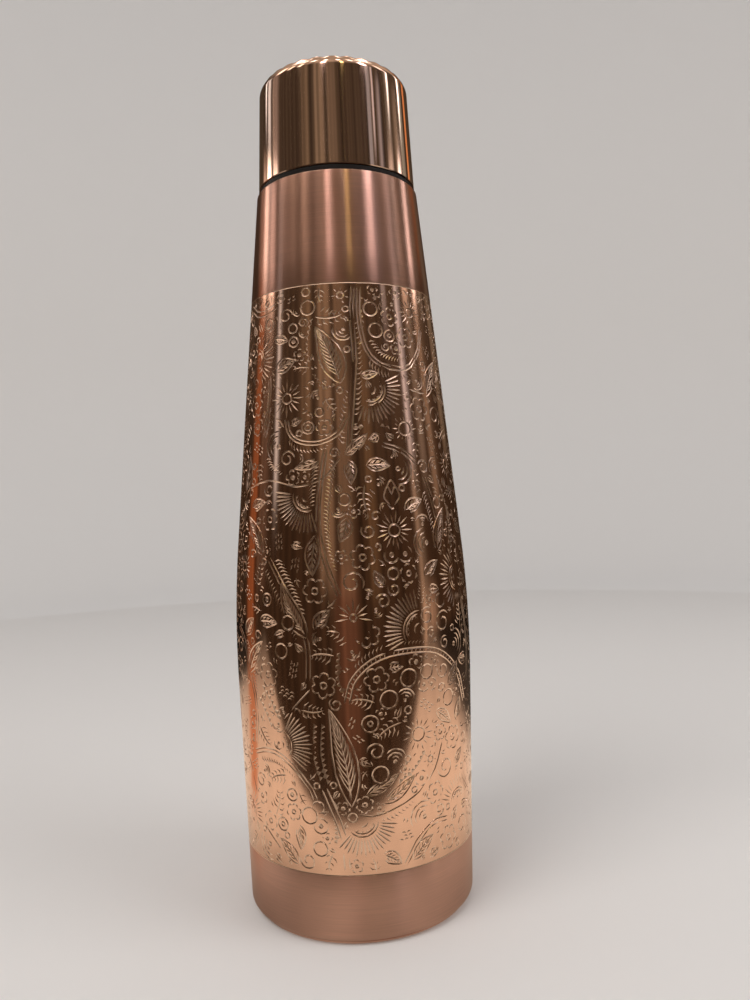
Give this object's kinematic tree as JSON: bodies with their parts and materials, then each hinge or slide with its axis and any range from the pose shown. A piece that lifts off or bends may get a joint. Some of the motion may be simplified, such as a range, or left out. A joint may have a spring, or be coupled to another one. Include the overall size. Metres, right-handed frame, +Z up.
{
  "type": "copper water bottle",
  "caption": "Tall flared copper water bottle with an engraved polished body, satin neck and foot bands, and a polished screw cap with a dark gasket line.",
  "frame": {"origin": "middle of the foot, on the surface the bottle stands on", "axes": "+Z up the bottle's axis, towards the cap; the bottle is round about Z"},
  "size_m": [0.0824, 0.0824, 0.285],
  "materials": {
    "engraved_copper": "polished and engraved between satin bands",
    "base_copper": "satin",
    "neck_copper": "machined",
    "black_silicone": "matte",
    "cap_copper": "mirror polished",
    "liner_plastic": "moulded",
    "seal_silicone": "matte"
  },
  "bodies": {
    "bottle": {"body_shell": "engraved_copper", "base_plate": "base_copper", "neck_collar": "neck_copper", "neck_gasket": "black_silicone"},
    "seal": {"cap_seal": "seal_silicone"},
    "cap": {"cap_shell": "cap_copper", "cap_liner": "liner_plastic"}
  },
  "joints": [
    {"name": "cap_rise", "type": "slide", "parent": "bottle", "child": "seal", "axis": [0, 0, 1], "range_m": [0, 0.0401]},
    {"name": "cap_turn", "type": "hinge", "parent": "seal", "child": "cap", "pos_m": [0, 0, 0.26], "axis": [0, 0, 1], "range_deg": [0, 1800]}
  ],
  "couplings": [
    {"joint": "cap_rise", "follows": "cap_turn", "m_per_rad": 0.0012732}
  ]
}
